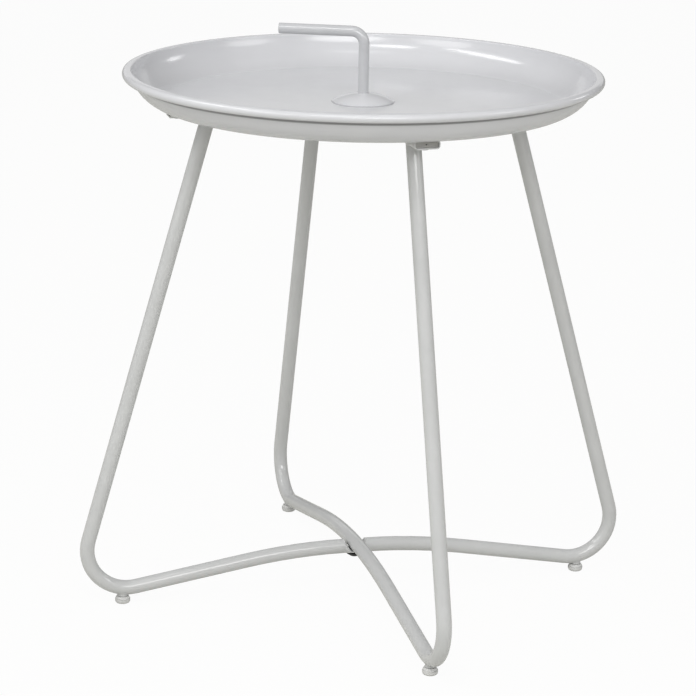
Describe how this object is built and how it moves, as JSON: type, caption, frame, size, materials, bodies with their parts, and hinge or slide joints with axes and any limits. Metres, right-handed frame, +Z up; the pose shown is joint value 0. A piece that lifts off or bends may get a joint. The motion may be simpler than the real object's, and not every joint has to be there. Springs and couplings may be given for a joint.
{
  "type": "round garden side table",
  "caption": "Round side table with a dished tray, a bent-bar lifting handle and crossed bent-tube frames on adjustable feet.",
  "frame": {"origin": "on the floor, under the centre of the tray", "axes": "+Z up; +X along the lower frame towards its right foot; +Y towards the back, near the upper frame's back foot"},
  "size_m": [0.542, 0.5408, 0.555],
  "materials": {
    "tray_coat": "satin",
    "frame_coat": "satin",
    "black_steel": "satin",
    "zinc_steel": "satin",
    "foot_plastic": "matt"
  },
  "bodies": {
    "table": {"tray_top": "tray_coat", "handle_bar": "frame_coat", "handle_disc": "frame_coat", "lower_frame_tube": "frame_coat", "upper_frame_tube": "frame_coat", "left_bracket": "frame_coat", "right_bracket": "frame_coat", "front_bracket": "frame_coat", "back_bracket": "frame_coat", "left_bracket_plug": "frame_coat", "right_bracket_plug": "frame_coat", "front_bracket_plug": "frame_coat", "back_bracket_plug": "frame_coat", "left_foot_boss": "frame_coat", "right_foot_boss": "frame_coat", "front_foot_boss": "frame_coat", "back_foot_boss": "frame_coat", "handle_washer": "black_steel", "handle_bolt": "black_steel", "crossing_bolt": "black_steel", "crossing_washer": "black_steel", "left_bracket_screw": "black_steel", "right_bracket_screw": "black_steel", "front_bracket_screw": "black_steel", "back_bracket_screw": "black_steel", "crossing_insert": "zinc_steel", "left_tray_nut": "zinc_steel", "right_tray_nut": "zinc_steel", "front_tray_nut": "zinc_steel", "back_tray_nut": "zinc_steel"},
    "left_foot": {"left_foot_pad": "foot_plastic", "left_foot_stud": "zinc_steel"},
    "right_foot": {"right_foot_pad": "foot_plastic", "right_foot_stud": "zinc_steel"},
    "front_foot": {"front_foot_pad": "foot_plastic", "front_foot_stud": "zinc_steel"},
    "back_foot": {"back_foot_pad": "foot_plastic", "back_foot_stud": "zinc_steel"}
  },
  "joints": [
    {"name": "left_foot_height", "type": "slide", "parent": "table", "child": "left_foot", "axis": [0, 0, -1], "range_m": [0, 0.006]},
    {"name": "right_foot_height", "type": "slide", "parent": "table", "child": "right_foot", "axis": [0, 0, -1], "range_m": [0, 0.006]},
    {"name": "front_foot_height", "type": "slide", "parent": "table", "child": "front_foot", "axis": [0, 0, -1], "range_m": [0, 0.006]},
    {"name": "back_foot_height", "type": "slide", "parent": "table", "child": "back_foot", "axis": [0, 0, -1], "range_m": [0, 0.006]}
  ]
}
